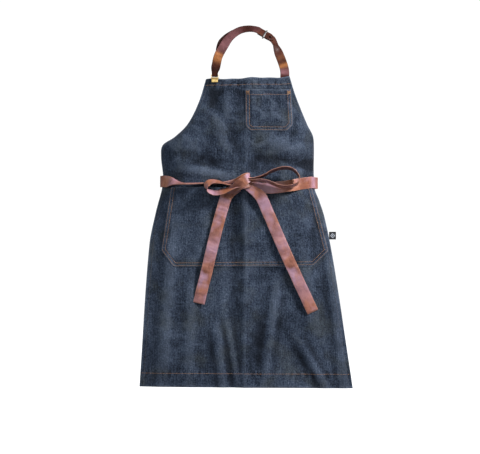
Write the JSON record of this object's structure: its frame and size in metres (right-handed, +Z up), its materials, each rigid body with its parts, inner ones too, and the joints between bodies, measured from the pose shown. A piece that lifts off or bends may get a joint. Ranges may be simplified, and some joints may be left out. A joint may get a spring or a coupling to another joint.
{
  "type": "bib apron",
  "caption": "Denim bib apron with a leather neck strap on a brass clip, a chest pocket, a wide waist pocket and leather waist ties knotted in a bow.",
  "frame": {"origin": "inner top of the neck loop, where the apron hangs", "axes": "+Z up towards the neck, +Y towards the back (the wearer's side), +X to the right as seen from the front"},
  "size_m": [0.5902, 0.142, 1.0049],
  "materials": {
    "denim": "dark charcoal-indigo twill denim, mottled, matte",
    "pocket_denim": "the same denim, with double orange topstitching round the pockets",
    "tie_leather": "reddish-brown leather with a soft sheen, paler at its cut edges",
    "neck_leather": "dark oxblood leather with a soft sheen and paler cut edges",
    "stud_dark": "dark bronze stud, half gloss",
    "brass": "polished brass",
    "steel": "pale nickel wire",
    "label_weave": null
  },
  "bodies": {
    "neck_loop": {"neck_strap_long": "neck_leather", "neck_strap_short": "neck_leather", "stud_knob": "stud_dark", "stud_back": "brass"},
    "strap_keeper": {"keeper_loop": "steel"},
    "apron_body": {"denim_panel": "denim", "top_hem": "denim", "bottom_hem": "denim", "left_armhole_facing": "denim", "right_armhole_facing": "denim", "left_side_hem": "denim", "right_side_hem": "denim", "chest_pocket": "pocket_denim", "chest_pocket_hem": "pocket_denim", "waist_pocket": "pocket_denim", "waist_pocket_hem": "pocket_denim", "neck_strap_sewn_end": "neck_leather", "clip_frame": "brass", "clip_bar": "brass", "clip_lever_pin": "brass", "waist_tie_left": "tie_leather", "waist_tie_right": "tie_leather", "bow_knot": "tie_leather", "tail_left_top": "tie_leather", "tail_right_top": "tie_leather"},
    "lever": {"clip_lever": "brass"},
    "label_flag": {"side_label": "label_weave"},
    "left_tail": {"tie_tail_left": "tie_leather"},
    "right_tail": {"tie_tail_right": "tie_leather"},
    "left_bow": {"bow_loop_left": "tie_leather"},
    "right_bow": {"bow_loop_right": "tie_leather"}
  },
  "joints": [
    {"name": "apron_swing", "type": "hinge", "parent": "neck_loop", "child": "apron_body", "pos_m": [0, 0.0005, -0.122], "axis": [-1, 0, 0], "range_deg": [-30, 60]},
    {"name": "keeper_slide", "type": "slide", "parent": "neck_loop", "child": "strap_keeper", "axis": [0.8695, 0, -0.4939], "range_m": [-0.009, 0.009]},
    {"name": "clip_lever_open", "type": "hinge", "parent": "apron_body", "child": "lever", "pos_m": [-0.088, -0.00382, -0.12892], "axis": [-1, 0, 0], "range_deg": [0, 100]},
    {"name": "label_fold", "type": "hinge", "parent": "apron_body", "child": "label_flag", "pos_m": [0.2284, 0.02242, -0.56547], "axis": [0, 0.018, 0.9998], "range_deg": [-45, 80]},
    {"name": "left_tail_lift", "type": "hinge", "parent": "apron_body", "child": "left_tail", "pos_m": [-0.0592, -0.01963, -0.46819], "axis": [-0.9688, 0.0045, 0.2479], "range_deg": [0, 75]},
    {"name": "right_tail_lift", "type": "hinge", "parent": "apron_body", "child": "right_tail", "pos_m": [0.0442, -0.02773, -0.46805], "axis": [-0.9117, -0.0074, -0.4108], "range_deg": [0, 75]},
    {"name": "left_bow_lift", "type": "hinge", "parent": "apron_body", "child": "left_bow", "pos_m": [-0.03, -0.04439, -0.42124], "axis": [0, 0.018, 0.9998], "range_deg": [0, 50]},
    {"name": "right_bow_lift", "type": "hinge", "parent": "apron_body", "child": "right_bow", "pos_m": [0.011, -0.05021, -0.41113], "axis": [0, -0.018, -0.9998], "range_deg": [0, 50]}
  ]
}
